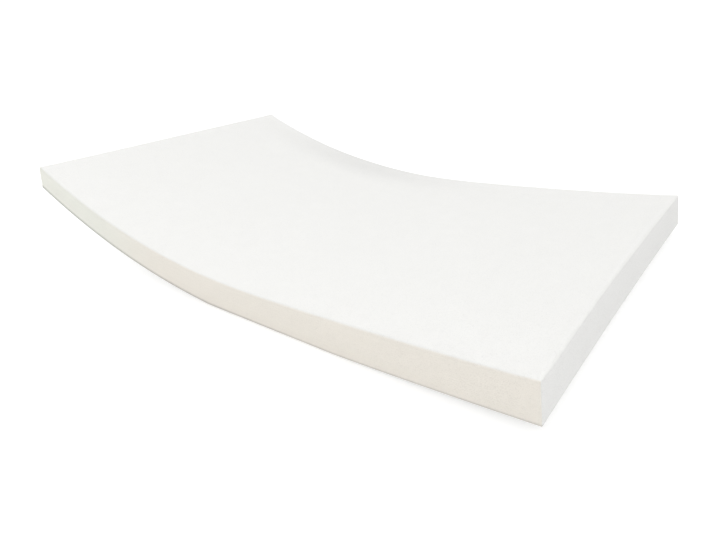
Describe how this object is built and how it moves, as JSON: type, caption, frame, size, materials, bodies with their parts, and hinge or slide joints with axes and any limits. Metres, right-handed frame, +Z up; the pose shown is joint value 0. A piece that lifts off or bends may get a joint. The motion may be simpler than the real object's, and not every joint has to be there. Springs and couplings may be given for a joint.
{
  "type": "foam mattress",
  "caption": "Uncovered slab of open-cell mattress foam with square-cut edges, resting on the middle of its underside and bending up towards its raised end.",
  "frame": {"origin": "centre of the bounding box, at the height of the floor under the flat part of the underside", "axes": "+X along the length towards the low end, +Y across the width, +Z up"},
  "size_m": [1.999, 1, 0.3254],
  "materials": {
    "foam": "matte open-cell polyurethane foam, sawn faces, off-white"
  },
  "bodies": {
    "root": {"foam_slab": "foam"}
  },
  "joints": []
}
